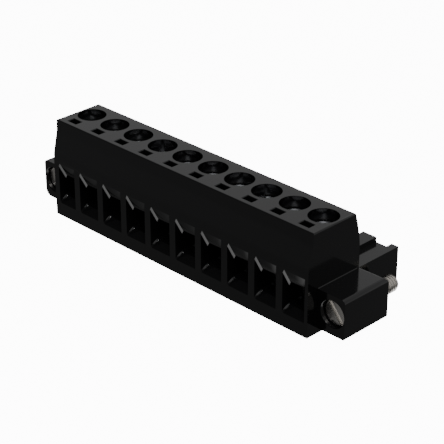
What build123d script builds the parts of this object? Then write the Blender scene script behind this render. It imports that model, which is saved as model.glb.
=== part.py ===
from build123d import *

import os

# Ten-pole plug for a circuit board header, with a screw clamp for each wire. All sizes are in
# millimetres. X runs along the row of poles, wires enter from -Y, the header's pins from +Y,
# and the clamp screws are turned from above. The origin is on the bottom face, below the
# middle of the row of clamp screws.

# Row of poles
pole_count = 10
pole_pitch = 5.08

# Housing body, seen from its end. Reaches are measured from the row of clamp screws.
body_height = 15.15
front_reach = 5.52
front_top_reach = 4.68
front_shoulder_reach = 4.76
front_shoulder_low = 10.0
front_shoulder_high = 13.3
shoulder_blend = 4.0
rear_reach = 4.45
rear_top_reach = 3.4
rear_curve_low = 9.0
body_edge_radius = 0.2

# Wire funnels: a square-cornered window in the front face narrows to a rounded throat
window_width = 3.9
window_bottom = 2.15
window_top = 8.65
window_corner = 0.12
end_wall = 1.0
funnel_depth = 1.05
throat_width = 3.0
throat_height = 3.0
throat_bottom = 3.0
throat_corner = 1.1

# Contact strip: a flat current bar, bent down behind the clamp into two spring arms
strip_width = 2.4
strip_thickness = 0.6
bar_front_reach = 4.0
bar_lip = 0.4
root_length = 0.9
root_gap = 0.15
arm_height = 2.0
arm_root_run = 1.6
arm_pinch_gap = 0.8
arm_pinch_setback = 1.6
arm_flare = 0.35
arm_bend_radius = 1.2
seat_clearance = 0.02

# Clamp yoke: a steel cage round the current bar, with a threaded head
yoke_wall = 0.6
yoke_length = 3.8
yoke_base = 0.75
yoke_head = 1.2
yoke_corner = 0.45
yoke_bar_gap = 0.15
yoke_rest_gap = 0.1
yoke_side_gap = 0.1
yoke_end_gap = 0.2
yoke_floor_gap = 0.3
yoke_wire_drop = 0.05
clamp_travel = 2.7
travel_clearance = 0.1

# Clamp screw, turned in its shaft above the yoke
clamp_cage_clearance = 0.05
thread_clearance = 0.05
clamp_head_diameter = 3.8
clamp_head_height = 1.1
clamp_head_chamfer = 0.15
clamp_slot_width = 0.6
clamp_slot_depth = 0.6
clamp_tip_chamfer = 0.3
clamp_tip_gap = 0.05
screw_ledge = 0.3
ledge_clearance = 0.1
head_gap = 0.03
shaft_diameter = 4.26
shaft_rim = 0.22
screw_turn_step = 47

# Test slots between the screw shafts and the front edge
test_slot_width = 1.8
test_slot_length = 1.1
test_slot_reach = 3.29
test_slot_rim = 0.1

# Mating part, which slides into the header
mating_depth = 8.2
mating_bottom = 1.2
mating_top = 6.0
rib_width = 2.4
rib_height = 0.75
contact_room_width = 3.4
contact_room_height = 3.0
mating_wall = 0.9
pin_opening = 1.6
pin_lead_in = 0.5
arm_tip_gap = 0.35

# End flanges, a moulded block pressed on at each end. The lower outer edge of the left one is
# rounded much more than that of the right one.
flange_width = 4.7
flange_front_reach = 3.65
flange_rear_reach = 5.05
flange_bottom = 0.9
flange_top = 6.78
flange_top_round = 0.6
flange_rear_round = 0.85
flange_low_round_right = 0.2
flange_low_round_left = 1.1
flange_rib_width = 0.9
flange_rib_depth = 0.5
flange_rib_front = 2.95
flange_rib_rear = 3.2
flange_rib_margin = 0.6
rib_clearance = 0.02

# Captive flange screws
flange_screw_height = 4.0
flange_outer_wall = 0.15
flange_head_diameter = 3.85
flange_head_height = 1.6
flange_head_recess = 0.7
flange_head_clearance = 0.025
flange_seat_rim = 0.09
flange_head_chamfer = 0.2
flange_slot_width = 0.65
flange_slot_depth = 0.8
flange_slot_turn_left = -80.0
flange_slot_turn_right = -51.0
flange_neck_diameter = 2.0
flange_neck_clearance = 0.05
flange_thread_diameter = 2.5
flange_thread_length = 3.3
flange_thread_gap = 0.15
flange_thread_chamfer = 0.3
bearing_gap = 0.05

# Sizes that follow from the ones above
row_length = pole_count * pole_pitch
row_end = row_length / 2
pole_places = [(index - (pole_count - 1) / 2) * pole_pitch for index in range(pole_count)]

window_height = window_top - window_bottom
throat_middle = throat_bottom + throat_height / 2

bar_bottom = throat_bottom + throat_height + bar_lip
bar_top = bar_bottom + strip_thickness

yoke_inner_width = strip_width + 2 * yoke_bar_gap
yoke_width = yoke_inner_width + 2 * yoke_wall
clamp_thread_diameter = yoke_inner_width - 2 * clamp_cage_clearance
yoke_window_bottom = throat_bottom - yoke_wire_drop
yoke_bottom = yoke_window_bottom - yoke_base
yoke_window_top = bar_top + yoke_rest_gap
yoke_top = yoke_window_top + yoke_head

chamber_width = yoke_width + 2 * yoke_side_gap
chamber_reach = yoke_length / 2 + yoke_end_gap
chamber_bottom = yoke_bottom - yoke_floor_gap
chamber_top = yoke_top + clamp_travel + travel_clearance

ledge_top = chamber_top + screw_ledge
clamp_head_bottom = ledge_top + head_gap
clamp_head_top = clamp_head_bottom + clamp_head_height
clamp_tip = bar_top + clamp_tip_gap

mating_rear = rear_reach + mating_depth
pin_height = (mating_bottom + mating_top) / 2
root_front = chamber_reach + root_gap
root_rear = root_front + root_length
pocket_rear = root_rear + seat_clearance
pocket_width = strip_width + 2 * root_gap
arm_bottom = pin_height - arm_height / 2
arm_tip = mating_rear - mating_wall - arm_tip_gap
arm_pinch = arm_tip - arm_pinch_setback

flange_middle = (flange_bottom + flange_top) / 2
flange_rib_height = flange_top - flange_bottom - 2 * flange_rib_margin
flange_seat_diameter = flange_head_diameter + 2 * flange_head_clearance
flange_screw_place = row_end + flange_width - flange_outer_wall - flange_seat_diameter / 2
flange_head_front = -flange_front_reach + flange_head_recess
flange_head_rear = flange_head_front + flange_head_height
flange_thread_start = flange_rear_reach + flange_thread_gap
flange_thread_end = flange_thread_start + flange_thread_length

os.makedirs("parts", exist_ok=True)


def write_piece(piece, name):
    """Label a finished piece and write it as its own file."""
    piece.part.label = name
    export_step(piece.part, f"parts/{name}.step")


# The hollow of one pole, from the wire throat through the clamp chamber to the pin opening
with BuildPart() as pole_hollow:
    with BuildSketch(Plane.XZ.offset(front_reach - funnel_depth)):
        with Locations((0, throat_middle)):
            RectangleRounded(throat_width, throat_height, throat_corner)
    extrude(amount=-(front_reach - funnel_depth - chamber_reach))

    with BuildSketch(Plane.XY.offset(chamber_bottom)):
        Rectangle(chamber_width, 2 * chamber_reach)
    extrude(amount=chamber_top - chamber_bottom)

    # Slot that holds the front end of the current bar above the throat
    with BuildSketch(Plane.XY.offset(bar_bottom)):
        with Locations((0, -bar_front_reach - seat_clearance)):
            Rectangle(
                strip_width + 2 * seat_clearance,
                bar_front_reach + seat_clearance,
                align=(Align.CENTER, Align.MIN),
            )
    extrude(amount=strip_thickness + seat_clearance)

    # Pocket behind the chamber, where the strip is bent down
    with BuildSketch(Plane.XY.offset(arm_bottom - seat_clearance)):
        with Locations((0, pocket_rear)):
            Rectangle(pocket_width, pocket_rear, align=(Align.CENTER, Align.MAX))
    extrude(amount=bar_top - arm_bottom + 2 * seat_clearance)

    # Room for the spring arms, with a square opening for the header's pin
    with BuildSketch(Plane.XZ.offset(-root_front)):
        with Locations((0, pin_height)):
            Rectangle(contact_room_width, contact_room_height)
    extrude(amount=-(mating_rear - mating_wall - root_front))

    with BuildSketch(Plane.XZ.offset(-root_front)):
        with Locations((0, pin_height)):
            Rectangle(pin_opening, pin_opening)
    extrude(amount=-(mating_rear - root_front))

    with BuildSketch(Plane.XZ.offset(-mating_rear + pin_lead_in)):
        with Locations((0, pin_height)):
            Rectangle(pin_opening, pin_opening)
    with BuildSketch(Plane.XZ.offset(-mating_rear)):
        with Locations((0, pin_height)):
            Rectangle(pin_opening + 2 * pin_lead_in, pin_opening + 2 * pin_lead_in)
    loft()

    # Stepped shaft of the clamp screw, with a chamfered rim
    with BuildSketch(Plane.XZ):
        with BuildLine():
            Polyline(
                (0, chamber_top),
                (clamp_thread_diameter / 2 + ledge_clearance, chamber_top),
                (clamp_thread_diameter / 2 + ledge_clearance, ledge_top),
                (shaft_diameter / 2, ledge_top),
                (shaft_diameter / 2, body_height - shaft_rim),
                (shaft_diameter / 2 + shaft_rim, body_height),
                (0, body_height),
                close=True,
            )
        make_face()
    revolve(axis=Axis.Z)

    # Test slot, which ends on the current bar
    with BuildSketch(Plane.XY.offset(bar_top)):
        with Locations((0, -test_slot_reach)):
            Rectangle(test_slot_width, test_slot_length)
    extrude(amount=body_height - bar_top)

    with BuildSketch(Plane.XY.offset(body_height - test_slot_rim)):
        with Locations((0, -test_slot_reach)):
            Rectangle(test_slot_width, test_slot_length)
    with BuildSketch(Plane.XY.offset(body_height)):
        with Locations((0, -test_slot_reach)):
            Rectangle(test_slot_width + 2 * test_slot_rim, test_slot_length + 2 * test_slot_rim)
    loft()

# Housing: one moulding, its end profile run along the row
with BuildPart() as housing:
    with BuildSketch(Plane.YZ):
        with BuildLine():
            front_edge = FilletPolyline(
                (-front_reach, 0),
                (-front_reach, front_shoulder_low),
                (-front_shoulder_reach, front_shoulder_high),
                (-front_top_reach, body_height),
                radius=shoulder_blend,
            )
            Line(front_edge @ 1, (rear_top_reach, body_height))
            rear_curve = TangentArc(
                (rear_reach, rear_curve_low), (rear_top_reach, body_height), tangent=(0, 1)
            )
            Polyline((rear_reach, rear_curve_low), (rear_reach, 0), (-front_reach, 0))
        make_face()
    extrude(amount=row_end, both=True)
    top_edges = housing.edges().group_by(Axis.Z)[-1]
    fillet(top_edges, radius=body_edge_radius)

    # Mating part with its guide ribs, one on each boundary between two poles
    with BuildSketch(Plane.YZ):
        with Locations((rear_reach, mating_bottom)):
            Rectangle(mating_depth, mating_top - mating_bottom, align=Align.MIN)
    extrude(amount=row_end, both=True)

    with BuildSketch(Plane.XY.offset(mating_top)):
        with Locations((0, rear_reach)):
            with GridLocations(pole_pitch, 0, pole_count - 1, 1):
                Rectangle(rib_width, mating_depth, align=(Align.CENTER, Align.MIN))
        for side, edge in ((1, Align.MAX), (-1, Align.MIN)):
            with Locations((side * row_end, rear_reach)):
                Rectangle(rib_width / 2, mating_depth, align=(edge, Align.MIN))
    extrude(amount=rib_height)

    with Locations(*[(place, 0) for place in pole_places]):
        add(pole_hollow.part, mode=Mode.SUBTRACT)

    # Wire funnels; the outer side of an end funnel stops at the end wall
    for place in pole_places:
        window_left = max(place - window_width / 2, -row_end + end_wall)
        window_right = min(place + window_width / 2, row_end - end_wall)
        with BuildSketch(Plane.XZ.offset(front_reach)):
            with Locations(((window_left + window_right) / 2, window_bottom + window_height / 2)):
                RectangleRounded(window_right - window_left, window_height, window_corner)
        with BuildSketch(Plane.XZ.offset(front_reach - funnel_depth)):
            with Locations((place, throat_middle)):
                RectangleRounded(throat_width, throat_height, throat_corner)
        loft(mode=Mode.SUBTRACT)

    # Blind grooves in both end walls, which hold the flanges
    for side in (1, -1):
        with BuildSketch(Plane.YZ.offset(side * row_end)):
            with Locations((-flange_rib_front, flange_middle), (flange_rib_rear, flange_middle)):
                Rectangle(flange_rib_width + 2 * rib_clearance, flange_rib_height + 2 * rib_clearance)
        extrude(amount=-side * (flange_rib_depth + rib_clearance), mode=Mode.SUBTRACT)

write_piece(housing, "housing")

# End flanges: a block with two press-in ribs and the stepped bore of its screw
for side, name, low_round in (
    (1, "flange_right", flange_low_round_right),
    (-1, "flange_left", flange_low_round_left),
):
    outward = Axis((0, 0, 0), (side, 0, 0))
    bore_place = (side * flange_screw_place, flange_screw_height)
    with BuildPart() as flange:
        with BuildSketch(Plane.YZ.offset(side * row_end)) as end_view:
            with Locations((-flange_front_reach, flange_bottom)):
                Rectangle(
                    flange_front_reach + flange_rear_reach, flange_top - flange_bottom, align=Align.MIN
                )
            rear_top_corner = end_view.vertices().group_by(Axis.Y)[-1].sort_by(Axis.X)[-1]
            fillet(rear_top_corner, radius=flange_rear_round)
        extrude(amount=side * flange_width)

        # Its outline from the front rounds the two outer edges
        with BuildSketch(Plane.XZ.offset(flange_front_reach)) as front_view:
            with Locations((side * (row_end + flange_width / 2), (flange_bottom + flange_top) / 2)):
                Rectangle(flange_width, flange_top - flange_bottom)
            low_corner = front_view.vertices().group_by(outward)[-1].sort_by(Axis.Y)[0]
            fillet(low_corner, radius=low_round)
            top_corner = front_view.vertices().group_by(outward)[-1].sort_by(Axis.Y)[-1]
            fillet(top_corner, radius=flange_top_round)
        extrude(amount=-(flange_front_reach + flange_rear_reach), mode=Mode.INTERSECT)

        with BuildSketch(Plane.YZ.offset(side * row_end)):
            with Locations((-flange_rib_front, flange_middle), (flange_rib_rear, flange_middle)):
                Rectangle(flange_rib_width, flange_rib_height)
        extrude(amount=-side * flange_rib_depth)

        # Seat of the screw's head with its chamfered mouth, then the bore of its neck
        with BuildSketch(Plane.XZ.offset(flange_front_reach)):
            with Locations(bore_place):
                Circle(flange_seat_diameter / 2)
        extrude(amount=-(flange_head_recess + flange_head_height + bearing_gap), mode=Mode.SUBTRACT)
        with BuildSketch(Plane.XZ.offset(flange_front_reach)):
            with Locations(bore_place):
                Circle(flange_seat_diameter / 2 + flange_seat_rim)
        with BuildSketch(Plane.XZ.offset(flange_front_reach - flange_seat_rim)):
            with Locations(bore_place):
                Circle(flange_seat_diameter / 2)
        loft(mode=Mode.SUBTRACT)
        with BuildSketch(Plane.XZ.offset(flange_front_reach)):
            with Locations(bore_place):
                Circle(flange_neck_diameter / 2 + flange_neck_clearance)
        extrude(amount=-(flange_front_reach + flange_rear_reach), mode=Mode.SUBTRACT)
    write_piece(flange, name)

# Contact of one pole: current bar, bend and two spring arms that pinch the header's pin
with BuildPart() as contact:
    with BuildSketch(Plane.XY.offset(bar_bottom)):
        with Locations((0, -bar_front_reach)):
            Rectangle(strip_width, bar_front_reach + root_rear, align=(Align.CENTER, Align.MIN))
    extrude(amount=strip_thickness)

    with BuildSketch(Plane.XZ.offset(-root_rear)):
        with Locations((0, bar_top)):
            Rectangle(strip_width, bar_top - arm_bottom, align=(Align.CENTER, Align.MAX))
        with Locations((0, bar_bottom)):
            Rectangle(
                strip_width - 2 * strip_thickness,
                bar_bottom - arm_bottom,
                align=(Align.CENTER, Align.MAX),
                mode=Mode.SUBTRACT,
            )
    extrude(amount=root_length)

    arm_line = (strip_width - strip_thickness) / 2
    pinch_line = (arm_pinch_gap + strip_thickness) / 2
    with BuildSketch(Plane.XY.offset(arm_bottom)):
        with BuildLine():
            FilletPolyline(
                (arm_line, root_front),
                (arm_line, root_front + arm_root_run),
                (pinch_line, arm_pinch),
                (pinch_line + arm_flare, arm_tip),
                radius=arm_bend_radius,
            )
        trace(line_width=strip_thickness)
        mirror(about=Plane.YZ)
    extrude(amount=arm_height)

# Clamp yoke of one pole, in its lowest place
with BuildPart() as yoke:
    with BuildSketch(Plane.XZ.offset(-yoke_length / 2)):
        with Locations((0, (yoke_bottom + yoke_top) / 2)):
            RectangleRounded(yoke_width, yoke_top - yoke_bottom, yoke_corner)
        with Locations((0, yoke_window_bottom)):
            Rectangle(
                yoke_inner_width,
                yoke_window_top - yoke_window_bottom,
                align=(Align.CENTER, Align.MIN),
                mode=Mode.SUBTRACT,
            )
    extrude(amount=yoke_length)
    with BuildSketch(Plane.XY.offset(yoke_window_top)):
        Circle(clamp_thread_diameter / 2 + thread_clearance)
    extrude(amount=yoke_head, mode=Mode.SUBTRACT)

# Clamp screw of one pole, turned in profile and slotted across its head
with BuildPart() as clamp_screw:
    with BuildSketch(Plane.XZ):
        with BuildLine():
            Polyline(
                (0, clamp_tip),
                (clamp_thread_diameter / 2 - clamp_tip_chamfer, clamp_tip),
                (clamp_thread_diameter / 2, clamp_tip + clamp_tip_chamfer),
                (clamp_thread_diameter / 2, clamp_head_bottom),
                (clamp_head_diameter / 2, clamp_head_bottom),
                (clamp_head_diameter / 2, clamp_head_top - clamp_head_chamfer),
                (clamp_head_diameter / 2 - clamp_head_chamfer, clamp_head_top),
                (0, clamp_head_top),
                close=True,
            )
        make_face()
    revolve(axis=Axis.Z)
    with BuildSketch(Plane.XY.offset(clamp_head_top)):
        Rectangle(clamp_head_diameter, clamp_slot_width)
    extrude(amount=-clamp_slot_depth, mode=Mode.SUBTRACT)

for index, place in enumerate(pole_places):
    pole_name = f"{index + 1:02d}"

    with BuildPart() as pole_contact:
        add(contact.part.moved(Location((place, 0, 0))))
    write_piece(pole_contact, f"contact_{pole_name}")

    with BuildPart() as pole_yoke:
        add(yoke.part.moved(Location((place, 0, 0))))
    write_piece(pole_yoke, f"clamp_yoke_{pole_name}")

    # Every screw was left at another turn
    with BuildPart() as pole_screw:
        add(clamp_screw.part.moved(Location((place, 0, 0), (0, 0, index * screw_turn_step))))
    write_piece(pole_screw, f"clamp_screw_{pole_name}")

# Captive flange screws: slotted head, neck that runs in the flange, threaded end
for side, name, slot_turn in (
    (1, "flange_screw_right", flange_slot_turn_right),
    (-1, "flange_screw_left", flange_slot_turn_left),
):
    screw_axis = Axis((side * flange_screw_place, 0, flange_screw_height), (0, 1, 0))
    head_radius = flange_head_diameter / 2
    neck_radius = flange_neck_diameter / 2
    thread_radius = flange_thread_diameter / 2
    with BuildPart() as flange_screw:
        with BuildSketch(Plane.XY.offset(flange_screw_height)):
            with BuildLine():
                Polyline(
                    *[
                        (side * flange_screw_place + radius, reach)
                        for radius, reach in (
                            (0, flange_head_front),
                            (head_radius - flange_head_chamfer, flange_head_front),
                            (head_radius, flange_head_front + flange_head_chamfer),
                            (head_radius, flange_head_rear),
                            (neck_radius, flange_head_rear),
                            (neck_radius, flange_thread_start),
                            (thread_radius, flange_thread_start),
                            (thread_radius, flange_thread_end - flange_thread_chamfer),
                            (thread_radius - flange_thread_chamfer, flange_thread_end),
                            (0, flange_thread_end),
                        )
                    ],
                    close=True,
                )
            make_face()
        revolve(axis=screw_axis)
        with BuildSketch(Plane.XZ.offset(-flange_head_front)):
            with Locations((side * flange_screw_place, flange_screw_height)):
                Rectangle(flange_head_diameter, flange_slot_width, rotation=slot_turn)
        extrude(amount=-flange_slot_depth, mode=Mode.SUBTRACT)
    write_piece(flange_screw, name)
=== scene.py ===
import math

import bmesh
import bpy
from mathutils import Matrix, Vector


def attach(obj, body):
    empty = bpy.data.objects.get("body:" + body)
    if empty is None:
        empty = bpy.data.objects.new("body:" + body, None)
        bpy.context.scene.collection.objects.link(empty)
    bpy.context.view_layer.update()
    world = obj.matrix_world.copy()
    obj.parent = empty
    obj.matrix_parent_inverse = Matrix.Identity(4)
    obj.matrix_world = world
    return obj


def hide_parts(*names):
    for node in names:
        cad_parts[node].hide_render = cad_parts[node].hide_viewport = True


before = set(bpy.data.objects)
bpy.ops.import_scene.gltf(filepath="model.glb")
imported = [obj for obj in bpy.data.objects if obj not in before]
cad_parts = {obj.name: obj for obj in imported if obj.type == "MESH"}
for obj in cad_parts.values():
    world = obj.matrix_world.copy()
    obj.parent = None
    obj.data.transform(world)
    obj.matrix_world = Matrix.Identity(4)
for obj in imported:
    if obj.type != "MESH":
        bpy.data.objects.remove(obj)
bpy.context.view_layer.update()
MM = 0.001


# Housing: one moulding in black glass-filled polyester, with the wire funnels, screw shafts,
# test slots and the mating part in it. The mould was polished, so its flat faces are glossy,
# and every edge keeps the small radius that the plastic takes in the tool.
HOUSING_EDGE = 0.07 * MM
HOUSING_BLACK = "0d0d0e"
HOUSING_TOP = 15.15 * MM
PITCH = 5.08 * MM
POLE_COUNT = 10
ROW_MIDDLE = (POLE_COUNT - 1) / 2

SHAFT_RADIUS = 2.13 * MM
SHAFT_RIM_INSIDE = 2.0 * MM
SHAFT_RIM_OUTSIDE = 2.45 * MM
SHAFT_RIM_BOTTOM = 14.9 * MM

FUNNEL_FRONT = -5.52 * MM
THROAT_FRONT = -4.47 * MM
THROAT_BACK = -2.1 * MM
WINDOW_MIDDLE = 5.4 * MM
WINDOW_HALF_WIDTH = 1.95 * MM
WINDOW_HALF_HEIGHT = 3.25 * MM
ROUND_THROAT_MIDDLE = 4.5 * MM
ROUND_THROAT_HALF = 1.5 * MM

# Corners in millimetres from the pole's middle and the housing's bottom, clockwise seen from
# the front, from the lower end of the upper left corner strip
WINDOW_CORNERS = ((-1.95, 8.15), (-1.7, 8.65), (1.95, 8.65), (1.95, 2.15), (-1.72, 2.15), (-1.95, 2.41))
THROAT_CORNERS = ((-1.69, 5.95), (-1.44, 6.45), (1.65, 6.45), (1.65, 3.15), (-1.46, 3.1), (-1.69, 3.36))
FIRST_WINDOW_SHIFT = 0.41

MERGE_GAP = 0.0005 * MM
POINT_GAP = 0.01 * MM
FLAT_ANGLE = math.radians(0.5)
FACET_ANGLE = math.radians(16)
EDGE_ANGLE = math.radians(28)
SHARP_ANGLE = math.radians(60)


def linear(hex_colour):
    """An sRGB hex colour as linear red, green, blue and alpha."""
    channels = [int(hex_colour[i:i + 2], 16) / 255 for i in (0, 2, 4)]
    straight = [c / 12.92 if c <= 0.04045 else ((c + 0.055) / 1.055) ** 2.4 for c in channels]
    return (*straight, 1.0)


def add_node(tree, kind, settings=None, links=None):
    """Add a node, give its own settings and input values, and link its inputs."""
    node = tree.nodes.new(kind)
    for name, value in (settings or {}).items():
        if name in node.inputs:
            node.inputs[name].default_value = value
        else:
            setattr(node, name, value)
    for name, source in (links or {}).items():
        tree.links.new(source, node.inputs[name])
    return node


def new_material(name, **surface):
    """A material with one surface shader; gives the material, its tree and its shader."""
    material = bpy.data.materials.new(name)
    material.use_nodes = True
    tree = material.node_tree
    tree.nodes.clear()
    shader = add_node(tree, "ShaderNodeBsdfPrincipled", surface)
    add_node(tree, "ShaderNodeOutputMaterial", links={"Surface": shader.outputs["BSDF"]})
    return material, tree, shader


def uneven_gloss(tree, shader, place, noise, levels, spread=(0.0, 1.0)):
    """Let the roughness wander between two levels with a noise pattern."""
    pattern = add_node(tree, "ShaderNodeTexNoise", noise, {"Vector": place})
    gloss = add_node(
        tree,
        "ShaderNodeMapRange",
        {"From Min": spread[0], "From Max": spread[1], "To Min": levels[0], "To Max": levels[1]},
        {"Value": pattern.outputs["Fac"]},
    )
    tree.links.new(gloss.outputs["Result"], shader.inputs["Roughness"])


def moulded_black():
    """Moulded polyester from a polished mould."""
    # It gives a near black that mirrors the room softly. A large face is faintly uneven where
    # the plastic flowed (6 mm), and carries a fine grain (0.25 mm) that is drawn coarser than
    # the real one, which would not show.
    material, tree, shader = new_material(
        "glossy_black_polyester", **{"IOR": 1.5, "Base Color": linear(HOUSING_BLACK)}
    )
    place = add_node(tree, "ShaderNodeTexCoord").outputs["Object"]
    flow = {"Scale": 1 / (6 * MM), "Detail": 2.0}
    uneven_gloss(tree, shader, place, flow, (0.1, 0.14), (0.3, 0.7))
    grain = add_node(
        tree,
        "ShaderNodeTexNoise",
        {"Scale": 1 / (0.25 * MM), "Detail": 3.0, "Roughness": 0.6},
        {"Vector": place},
    )
    bump = add_node(
        tree,
        "ShaderNodeBump",
        {"Strength": 0.03, "Distance": 0.004 * MM},
        {"Height": grain.outputs["Fac"]},
    )
    tree.links.new(bump.outputs["Normal"], shader.inputs["Normal"])
    return material


def piece_from(shape, name):
    """Make an object at the origin from a finished shape."""
    mesh = bpy.data.meshes.new(name)
    shape.to_mesh(mesh)
    shape.free()
    piece = bpy.data.objects.new(name, mesh)
    bpy.context.scene.collection.objects.link(piece)
    return piece


def edged_copy(node_name, piece_name, edge, refine=None):
    """A merged copy of a CAD node's mesh, refined, with its sharp edges rounded by a radius."""
    shape = bmesh.new()
    shape.from_mesh(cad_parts[node_name].data)
    bmesh.ops.remove_doubles(shape, verts=shape.verts, dist=MERGE_GAP)
    if refine:
        refine(shape)
        bmesh.ops.remove_doubles(shape, verts=shape.verts, dist=MERGE_GAP)
    bmesh.ops.dissolve_limit(
        shape, angle_limit=FLAT_ANGLE, verts=shape.verts, edges=shape.edges, delimit={"NORMAL"}
    )
    inner = [e for e in shape.edges if len(e.link_faces) == 2]
    sharp = [e for e in inner if e.calc_face_angle() > EDGE_ANGLE]
    for crease in inner:
        crease.smooth = not FACET_ANGLE < crease.calc_face_angle() <= EDGE_ANGLE
    bmesh.ops.bevel(
        shape,
        geom=sharp,
        offset=edge,
        offset_type="OFFSET",
        affect="EDGES",
        segments=2,
        profile=0.5,
        material=-1,
        clamp_overlap=True,
    )
    for face in shape.faces:
        face.smooth = True
    for crease in shape.edges:
        if len(crease.link_faces) == 2 and crease.calc_face_angle() > SHARP_ANGLE:
            crease.smooth = False
    return piece_from(shape, piece_name)


def keep_faces_flat(piece):
    """Shade the large faces flat and let only the rounded edges turn."""
    flat = piece.modifiers.new("flat_faces", "WEIGHTED_NORMAL")
    flat.keep_sharp = True
    flat.weight = 80


def coat(piece, material):
    """Give a piece or a CAD node its material."""
    piece.data.materials.clear()
    piece.data.materials.append(material)


def dress(piece, material, body, slot, *nodes):
    """Coat a piece, hang it on the body it rides on, and hide the nodes it stands for."""
    coat(piece, material)
    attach(piece, body)
    if nodes:
        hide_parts(*nodes)


def pole_middle(x):
    """The middle of the pole that a place along the row belongs to."""
    number = max(0, min(POLE_COUNT - 1, round(x / PITCH + ROW_MIDDLE)))
    return (number - ROW_MIDDLE) * PITCH


def pole_corners(corners, middle):
    """An outline's corners for one pole; the first window is narrower on its left."""
    shift = FIRST_WINDOW_SHIFT if middle < (0.5 - ROW_MIDDLE) * PITCH else 0
    return [((x + shift if x < 0 else x) * MM, z * MM) for x, z in corners]


def corner_number(right, upper, steep):
    """Which of the six corners a point of an outline belongs to."""
    if right:
        return 2 if upper else 3
    if upper:
        return 1 if steep else 0
    return 4 if steep else 5


def funnel_corner(place, middle):
    """Where a point on a funnel's round outlines moves to, or None for any other point."""
    across = place.x - middle
    window_rise = place.z - WINDOW_MIDDLE
    throat_rise = place.z - ROUND_THROAT_MIDDLE
    if (
        abs(place.y - FUNNEL_FRONT) < POINT_GAP
        and abs(across) < WINDOW_HALF_WIDTH + POINT_GAP
        and abs(window_rise) < WINDOW_HALF_HEIGHT + POINT_GAP
    ):
        corners = pole_corners(WINDOW_CORNERS, middle)
        steep = WINDOW_HALF_HEIGHT - abs(window_rise) < abs(across - corners[0][0])
        return corners[corner_number(across > 0, window_rise > 0, steep)]
    if (
        min(abs(place.y - THROAT_FRONT), abs(place.y - THROAT_BACK)) < POINT_GAP
        and max(abs(across), abs(throat_rise)) < ROUND_THROAT_HALF + POINT_GAP
    ):
        corners = pole_corners(THROAT_CORNERS, middle)
        return corners[corner_number(across > 0, throat_rise > 0, abs(throat_rise) > abs(across))]
    return None


def is_funnel_wall(face):
    """Whether a face lies between a window and its throat."""
    middle = pole_middle(face.calc_center_median().x)
    inside = all(
        abs(v.co.x - middle) < WINDOW_HALF_WIDTH + POINT_GAP
        and abs(v.co.z - WINDOW_MIDDLE) < WINDOW_HALF_HEIGHT + POINT_GAP
        and FUNNEL_FRONT - POINT_GAP < v.co.y < THROAT_FRONT + POINT_GAP
        for v in face.verts
    )
    return inside and max(v.co.y for v in face.verts) > FUNNEL_FRONT + POINT_GAP


def outline_verts(shape, corners, middle, y):
    """The points of a shape that stand at an outline's corners."""
    places = [Vector((middle + x, y, z)) for x, z in pole_corners(corners, middle)]
    return [min(shape.verts, key=lambda v: (v.co - place).length_squared) for place in places]


def refine_housing(shape):
    """Give the funnels plain walls and narrow corner strips, and take the shafts' rims away."""
    for vert in shape.verts:
        middle = pole_middle(vert.co.x)
        corner = funnel_corner(vert.co, middle)
        reach = math.hypot(vert.co.x - middle, vert.co.y)
        if corner:
            vert.co.x = middle + corner[0]
            vert.co.z = corner[1]
        elif vert.co.z > SHAFT_RIM_BOTTOM and SHAFT_RIM_INSIDE < reach < SHAFT_RIM_OUTSIDE:
            vert.co.x = middle + (vert.co.x - middle) * SHAFT_RADIUS / reach
            vert.co.y *= SHAFT_RADIUS / reach
            vert.co.z = HOUSING_TOP
    round_walls = [face for face in shape.faces if is_funnel_wall(face)]
    bmesh.ops.delete(shape, geom=round_walls, context="FACES")
    bmesh.ops.remove_doubles(shape, verts=shape.verts, dist=MERGE_GAP)
    # The new walls are slightly twisted. Each is placed by its corners, because a bridge folds
    # it along its other diagonal, and then the mirror image on the window's roof breaks up.
    for number in range(POLE_COUNT):
        middle = (number - ROW_MIDDLE) * PITCH
        window = outline_verts(shape, WINDOW_CORNERS, middle, FUNNEL_FRONT)
        throat = outline_verts(shape, THROAT_CORNERS, middle, THROAT_FRONT)
        for corner in range(len(window)):
            after = (corner + 1) % len(window)
            shape.faces.new((window[corner], window[after], throat[after], throat[corner]))
    bmesh.ops.recalc_face_normals(shape, faces=shape.faces)


black = moulded_black()
housing = edged_copy("housing", "moulded_housing", HOUSING_EDGE, refine_housing)
keep_faces_flat(housing)
dress(housing, black, "housing", "housing_plastic", "housing")


# End flanges: two black blocks moulded apart and pressed onto the ends of the housing, with a
# bead of plastic in the corner above them. The left one's lower outer edge is rounder.
ROW_END = 25.4 * MM
FLANGE_TOP = 6.78 * MM
BEAD_SIZE = 0.08 * MM
BEAD_FRONT = -3.6 * MM
BEAD_BACK = 4.1 * MM


def corner_bead(name, side):
    """The bead in the corner between a flange's top and the end wall of the housing."""
    shape = bmesh.new()
    corner = [
        shape.verts.new((side * (ROW_END + out), BEAD_FRONT, FLANGE_TOP + up))
        for out, up in ((0, 0), (0, BEAD_SIZE), (BEAD_SIZE, 0))
    ]
    profile = shape.faces.new(corner)
    drawn = bmesh.ops.extrude_face_region(shape, geom=[profile], use_keep_orig=True)
    far_end = [v for v in drawn["geom"] if isinstance(v, bmesh.types.BMVert)]
    bmesh.ops.translate(shape, verts=far_end, vec=(0, BEAD_BACK - BEAD_FRONT, 0))
    bmesh.ops.recalc_face_normals(shape, faces=shape.faces)
    return piece_from(shape, name)


for side, sign in (("left", -1), ("right", 1)):
    flange = edged_copy(f"flange_{side}", f"moulded_flange_{side}", HOUSING_EDGE)
    keep_faces_flat(flange)
    dress(flange, black, "housing", "housing_plastic", f"flange_{side}")
    dress(corner_bead(f"flange_bead_{side}", sign), black, "housing", "housing_plastic")


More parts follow.
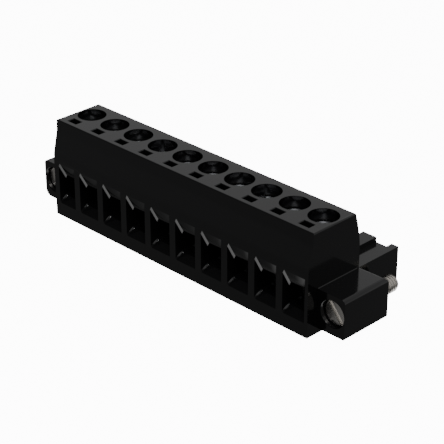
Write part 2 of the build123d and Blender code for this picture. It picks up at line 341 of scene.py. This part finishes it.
# Contacts: copper alloy strip, tin-plated after it was stamped and bent, and pushed into the
# housing from behind.
def tin_plate():
    """Tin plate on rolled strip."""
    # It gives a soft whitish grey, with fine rolling lines along the strip (0.08 mm apart,
    # drawn coarser than the real ones).
    material, tree, shader = new_material(
        "tinned_copper_alloy", **{"Metallic": 1.0, "Base Color": linear("c9c6bf")}
    )
    place = add_node(tree, "ShaderNodeTexCoord").outputs["Object"]
    rolled = add_node(
        tree,
        "ShaderNodeMapping",
        {"Scale": (1 / (0.08 * MM), 1 / (2 * MM), 1 / (0.08 * MM))},
        {"Vector": place},
    )
    lines = {"Scale": 1.0, "Detail": 2.0}
    uneven_gloss(tree, shader, rolled.outputs["Vector"], lines, (0.28, 0.42))
    return material


tin = tin_plate()
poles = [f"{number:02d}" for number in range(1, POLE_COUNT + 1)]
for pole in poles:
    coat(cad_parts[f"contact_{pole}"], tin)


# Clamp yokes and clamp screws: zinc-plated steel, the yokes bent from strip, the screws
# turned, so the screws' heads keep the rings of the turning tool. Each screw hangs in its
# shaft and draws its yoke up.
SMALL_SCREW_EDGE = 0.04 * MM
HEAD_BOTTOM = 11.45 * MM
HEAD_RAISE = 0.9 * MM


def zinc_plate():
    """Bright zinc plate on bent strip."""
    # It gives a bluish grey with a blotchy shine, about 0.4 mm from blotch to blotch.
    material, tree, shader = new_material(
        "zinc_plated_steel", **{"Metallic": 1.0, "Base Color": linear("b9bcc0")}
    )
    place = add_node(tree, "ShaderNodeTexCoord").outputs["Object"]
    blotches = {"Scale": 1 / (0.4 * MM), "Detail": 4.0}
    uneven_gloss(tree, shader, place, blotches, (0.22, 0.42))
    return material


def turned_zinc():
    """Zinc plate over turning marks."""
    # The rings spread the light across them, so a streak runs from the middle of a head
    # towards the lamp and away from it.
    material, tree, shader = new_material(
        "turned_zinc_plated_steel",
        **{
            "Metallic": 1.0,
            "Base Color": linear("9a9ca0"),
            "Anisotropic": 0.85,
            "Anisotropic Rotation": 0.25,
        },
    )
    around = add_node(tree, "ShaderNodeTangent", {"direction_type": "RADIAL", "axis": "Z"})
    tree.links.new(around.outputs["Tangent"], shader.inputs["Tangent"])
    place = add_node(tree, "ShaderNodeTexCoord").outputs["Object"]
    blotches = {"Scale": 1 / (0.4 * MM), "Detail": 3.0}
    uneven_gloss(tree, shader, place, blotches, (0.36, 0.5))
    return material


def refine_clamp_screw(shape):
    """Make the head as tall as it looks down in the shaft."""
    for vert in shape.verts:
        if vert.co.z > HEAD_BOTTOM:
            vert.co.z += HEAD_RAISE


zinc = zinc_plate()
turned = turned_zinc()
for pole in poles:
    coat(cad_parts[f"clamp_yoke_{pole}"], zinc)
    body = f"clamp_screw_{pole}"
    # No keep_faces_flat here, because the radial tangent doesn't go with a live modifier
    screw = edged_copy(body, f"turned_clamp_screw_{pole}", SMALL_SCREW_EDGE, refine_clamp_screw)
    dress(screw, turned, body, "clamp_screw_steel", body)


# Flange screws: turned and nickel-plated steel, slotted across the head, held captive in the
# flanges. Their M2.5 threads are rolled, so they are smooth-crested and end in a chamfer.
SLOT_FLOOR = -2.15 * MM
SLOT_FLOOR_SEEN = -2.55 * MM
SCREW_PLACE = 28.0 * MM
SCREW_HEIGHT = 4.0 * MM
THREAD_START = 5.2 * MM
THREAD_END = 8.5 * MM
THREAD_RADIUS = 1.25 * MM
THREAD_PITCH = 0.45 * MM
THREAD_DEPTH = 0.61 * THREAD_PITCH
THREAD_TIP = 0.3 * MM
THREAD_STEPS = 48
# One turn of the thread: how far along it each point lies, as a share of the pitch, and
# whether it is on the root
THREAD_PROFILE = ((0, False), (0.125, False), (0.4375, True), (0.6875, True))


def nickel_plate():
    """Nickel plate on turned steel."""
    # It gives a warm light grey with a blotchy shine, about 0.5 mm from blotch to blotch.
    material, tree, shader = new_material(
        "nickel_plated_steel", **{"Metallic": 1.0, "Base Color": linear("dddad5")}
    )
    place = add_node(tree, "ShaderNodeTexCoord").outputs["Object"]
    blotches = {"Scale": 1 / (0.5 * MM), "Detail": 4.0}
    uneven_gloss(tree, shader, place, blotches, (0.2, 0.32))
    return material


def cut_square(shape, height, outwards):
    """Cut a shape off square across its axis, and leave the side away from outwards."""
    bmesh.ops.bisect_plane(
        shape,
        geom=list(shape.verts) + list(shape.edges) + list(shape.faces),
        plane_co=(0, height, 0),
        plane_no=(0, outwards, 0),
        clear_outer=True,
    )


def close_ends(shape):
    """Close the open ends that cuts have left."""
    bmesh.ops.holes_fill(shape, edges=[e for e in shape.edges if e.is_boundary], sides=0)


def refine_flange_screw(shape):
    """Make the slot as shallow as it looks, and cut the thread off, which is a piece of its own."""
    for vert in shape.verts:
        if abs(vert.co.y - SLOT_FLOOR) < POINT_GAP:
            vert.co.y = SLOT_FLOOR_SEEN
    cut_square(shape, THREAD_START - POINT_GAP, 1)
    close_ends(shape)


def rolled_thread(name, place):
    """A right-handed 60 degree thread, spun from its profile, with a chamfered tip."""
    shape = bmesh.new()
    line = []
    for turn in range(-1, math.ceil((THREAD_END - THREAD_START) / THREAD_PITCH) + 1):
        for share, at_root in THREAD_PROFILE:
            radius = THREAD_RADIUS - (THREAD_DEPTH if at_root else 0)
            along = THREAD_START + (turn + share) * THREAD_PITCH
            line.append(shape.verts.new((place + radius, along, SCREW_HEIGHT)))
    edges = [shape.edges.new(pair) for pair in zip(line, line[1:])]
    bmesh.ops.spin(
        shape,
        geom=line + edges,
        cent=(place, 0, SCREW_HEIGHT),
        axis=(0, 1, 0),
        dvec=(0, THREAD_PITCH / THREAD_STEPS, 0),
        angle=2 * math.pi,
        steps=THREAD_STEPS,
    )
    bmesh.ops.remove_doubles(shape, verts=shape.verts, dist=MERGE_GAP)
    cut_square(shape, THREAD_START, -1)
    cut_square(shape, THREAD_END, 1)
    for vert in shape.verts:
        reach = math.hypot(vert.co.x - place, vert.co.z - SCREW_HEIGHT)
        limit = THREAD_RADIUS - max(0, vert.co.y - (THREAD_END - THREAD_TIP))
        if reach > limit:
            vert.co.x = place + (vert.co.x - place) * limit / reach
            vert.co.z = SCREW_HEIGHT + (vert.co.z - SCREW_HEIGHT) * limit / reach
    close_ends(shape)
    bmesh.ops.recalc_face_normals(shape, faces=shape.faces)
    return piece_from(shape, name)


nickel = nickel_plate()
for side, sign in (("left", -1), ("right", 1)):
    body = f"flange_screw_{side}"
    screw = edged_copy(body, f"turned_flange_screw_{side}", SMALL_SCREW_EDGE, refine_flange_screw)
    keep_faces_flat(screw)
    dress(screw, nickel, body, "flange_screw_steel", body)
    thread = rolled_thread(f"rolled_thread_{side}", sign * SCREW_PLACE)
    dress(thread, nickel, body, "flange_screw_steel")


# Floor: a sheet of white paper lit so evenly that no shadow shows on it. It is left out of
# what the plastic mirrors, which is the room round it.
FLOOR_SIZE = 3.0
WHITE_LEVEL = 12.0

sheet = bmesh.new()
bmesh.ops.create_grid(sheet, x_segments=1, y_segments=1, size=FLOOR_SIZE / 2)
floor = piece_from(sheet, "floor")
# Matt white paper: no shine, and so bright that it gives the eye one even white
paper, paper_tree, paper_shader = new_material(
    "white_paper",
    **{
        "Roughness": 0.9,
        "Base Color": linear("f4f4f4"),
        "Emission Color": linear("ffffff"),
        "Emission Strength": WHITE_LEVEL,
    },
)
floor.data.materials.append(paper)
floor.visible_glossy = False
floor.visible_diffuse = False


# Room: what the glossy plastic mirrors. It is bright overhead towards the back, dim in front,
# and white paper lies in front of the part; the camera itself sees white.
ROOM_BACK = ((-0.85, 0.7), (-0.77, 0.12), (-0.35, 0.12), (-0.2, 0.5), (0.42, 0.54), (1.0, 0.54))
ROOM_FRONT = (
    (-0.85, 0.7),
    (-0.77, 0.13),
    (-0.46, 0.13),
    (-0.1, 0.17),
    (0.3, 0.14),
    (0.5, 0.04),
    (0.8, 0.04),
    (1.0, 0.5),
)
FRONT_ENDS = -0.3
BACK_BEGINS = 0.1
# The paper in front, by direction: where it begins, where it is full, and its factor there.
# The three factors are multiplied.
PAPER_REACH = (("Z", -0.68, -0.76, 1.0), ("X", -0.2, 0.0, 1.0), ("Y", -0.15, -0.28, 1.4))


def level_ramp(tree, height, levels):
    """Grey levels by height, from -1 straight below to 1 straight above."""
    place = add_node(
        tree, "ShaderNodeMapRange", {"From Min": -1.0, "From Max": 1.0}, {"Value": height}
    )
    ramp = add_node(tree, "ShaderNodeValToRGB", links={"Fac": place.outputs["Result"]})
    stops = ramp.color_ramp.elements
    while len(stops) < len(levels):
        stops.new(0.5)
    for stop, (level_height, level) in zip(stops, levels):
        stop.position = (level_height + 1) / 2
        stop.color = (level, level, level, 1)
    return ramp.outputs["Color"]


room = bpy.data.worlds.new("room")
bpy.context.scene.world = room
room.use_nodes = True
room_tree = room.node_tree
room_tree.nodes.clear()
direction = add_node(room_tree, "ShaderNodeTexCoord").outputs["Generated"]
parts = add_node(room_tree, "ShaderNodeSeparateXYZ", links={"Vector": direction})
backward = add_node(
    room_tree,
    "ShaderNodeMapRange",
    {"From Min": FRONT_ENDS, "From Max": BACK_BEGINS},
    {"Value": parts.outputs["Y"]},
)
levels = add_node(
    room_tree,
    "ShaderNodeMixRGB",
    links={
        "Fac": backward.outputs["Result"],
        "Color1": level_ramp(room_tree, parts.outputs["Z"], ROOM_FRONT),
        "Color2": level_ramp(room_tree, parts.outputs["Z"], ROOM_BACK),
    },
)
low, right, ahead = (
    add_node(
        room_tree,
        "ShaderNodeMapRange",
        {"From Min": begins, "From Max": full, "To Max": factor},
        {"Value": parts.outputs[axis]},
    ).outputs["Result"]
    for axis, begins, full, factor in PAPER_REACH
)
low_right = add_node(room_tree, "ShaderNodeMath", {"operation": "MULTIPLY"}, {0: low, 1: right})
paper_glow = add_node(
    room_tree, "ShaderNodeMath", {"operation": "MULTIPLY"}, {0: low_right.outputs["Value"], 1: ahead}
)
room_and_paper = add_node(
    room_tree,
    "ShaderNodeMixRGB",
    {"blend_type": "ADD", "Fac": 1.0},
    {"Color1": levels.outputs["Color"], "Color2": paper_glow.outputs["Value"]},
)
glow = add_node(room_tree, "ShaderNodeBackground", links={"Color": room_and_paper.outputs["Color"]})
white = add_node(
    room_tree, "ShaderNodeBackground", {"Strength": WHITE_LEVEL, "Color": linear("ffffff")}
)
seen = add_node(room_tree, "ShaderNodeLightPath").outputs["Is Camera Ray"]
mix = add_node(
    room_tree,
    "ShaderNodeMixShader",
    links={0: seen, 1: glow.outputs["Background"], 2: white.outputs["Background"]},
)
add_node(room_tree, "ShaderNodeOutputWorld", links={"Surface": mix.outputs["Shader"]})


# Lamps: a soft box high above the camera, which reaches the screw heads down in the shafts,
# and a dim card beside the camera, which shows in the slots of the flange screws. Directions
# are from the part, sizes and distances in metres, power in watts.
SOFT_BOX = {"toward": (0.37, -0.36, 0.86), "distance": 0.5, "width": 0.2, "height": 0.25, "power": 1.2}
CARD = {"toward": (0.62, -0.64, 0.455), "distance": 0.6, "width": 0.16, "height": 0.2, "power": 0.08}


def soft_lamp(name, toward, distance, width, height, power):
    """A rectangular lamp that shines onto the part from the given direction."""
    lamp = bpy.data.lights.new(name, "AREA")
    lamp.shape = "RECTANGLE"
    lamp.size = width
    lamp.size_y = height
    lamp.energy = power
    box = bpy.data.objects.new(name, lamp)
    box.location = Vector(toward).normalized() * distance
    box.rotation_euler = (-box.location).to_track_quat("-Z", "Y").to_euler()
    bpy.context.scene.collection.objects.link(box)


soft_lamp("soft_box_front", **SOFT_BOX)
soft_lamp("card_by_camera", **CARD)


# Camera: the photograph's place and lens, found from the edges of the housing and the row of
# shafts, with a slight roll.
CAMERA_PLACE = Vector((142.8, -137.7, 109.1)) * MM
CAMERA_AIM = Vector((4.22, 0.0, 7.35)) * MM
CAMERA_ROLL = math.radians(-0.11)
CAMERA_LENS = 128.8
CAMERA_SENSOR = 36.0

camera_data = bpy.data.cameras.new("camera")
camera_data.lens = CAMERA_LENS
camera_data.sensor_width = CAMERA_SENSOR
camera_data.clip_start = 0.01
camera_data.clip_end = 10.0
camera = bpy.data.objects.new("camera", camera_data)
camera.location = CAMERA_PLACE
turn = (CAMERA_AIM - CAMERA_PLACE).to_track_quat("-Z", "Y").to_matrix()
camera.rotation_euler = (turn @ Matrix.Rotation(CAMERA_ROLL, 3, "Z")).to_euler()
bpy.context.scene.collection.objects.link(camera)
bpy.context.scene.camera = camera
